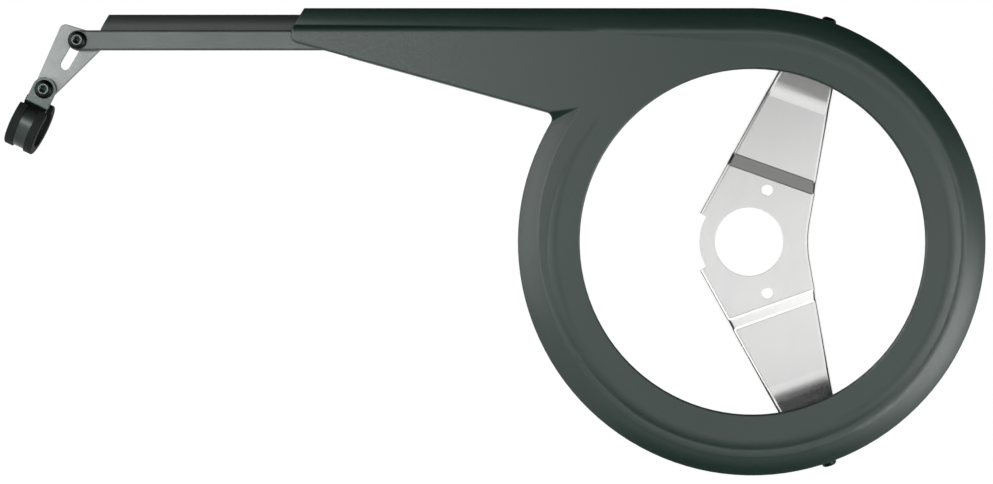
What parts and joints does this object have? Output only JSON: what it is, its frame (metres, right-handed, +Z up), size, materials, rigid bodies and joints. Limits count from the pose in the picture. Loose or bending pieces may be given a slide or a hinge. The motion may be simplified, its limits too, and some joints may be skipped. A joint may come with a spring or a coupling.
{
  "type": "bicycle chain guard",
  "caption": "Ring-shaped bicycle chain guard with a tapering rear arm, a bottom bracket plate, a sliding rear stay and a slotted link with a lined clamp for the frame tube.",
  "frame": {"origin": "on the crank axle, in the face of the bracket that seats on the bottom bracket shell", "axes": "+X to the front of the bike, +Z up, -Y outboard along the crank axle, away from the bike"},
  "size_m": [0.4963, 0.0297, 0.236],
  "materials": {
    "guard_plastic": "dark grey-green moulded plastic, satin",
    "extension_plastic": "dark moulded plastic, fine texture",
    "bracket_steel": "bright stamped stainless sheet",
    "bar_aluminium": "grey anodised flat bar",
    "link_aluminium": "light grey stamped plate, matt",
    "black_steel": "black oxide",
    "zinc_steel": "zinc plated",
    "strap_steel": "dark plated strip",
    "liner_rubber": "black rubber, matt"
  },
  "bodies": {
    "guard": {"guard_shell": "guard_plastic", "bb_bracket": "bracket_steel", "rim_screws": "black_steel", "rim_nuts": "zinc_steel"},
    "stay": {"stay_bar": "bar_aluminium", "stay_extension": "extension_plastic", "stay_rivets": "zinc_steel"},
    "pivot": {"link_bolt": "black_steel", "link_spacer": "zinc_steel", "link_washer": "zinc_steel", "link_nut": "zinc_steel"},
    "link": {"link_plate": "link_aluminium"},
    "clamp": {"clamp_strap": "strap_steel", "clamp_liner": "liner_rubber", "clamp_bolt": "black_steel", "clamp_washer": "zinc_steel", "clamp_nut": "zinc_steel"}
  },
  "joints": [
    {"name": "stay_slide", "type": "slide", "parent": "guard", "child": "stay", "axis": [-1, 0, 0], "range_m": [-0.05, 0.035]},
    {"name": "link_turn", "type": "hinge", "parent": "stay", "child": "pivot", "pos_m": [-0.3401, -0.017, 0.1016], "axis": [0, 1, 0], "range_deg": [-45, 45]},
    {"name": "link_slot", "type": "slide", "parent": "pivot", "child": "link", "axis": [0.5, 0, 0.866], "range_m": [0, 0.014]},
    {"name": "clamp_turn", "type": "hinge", "parent": "link", "child": "clamp", "pos_m": [-0.35739, -0.015, 0.07706], "axis": [0, 1, 0], "range_deg": [-40, 40]}
  ]
}
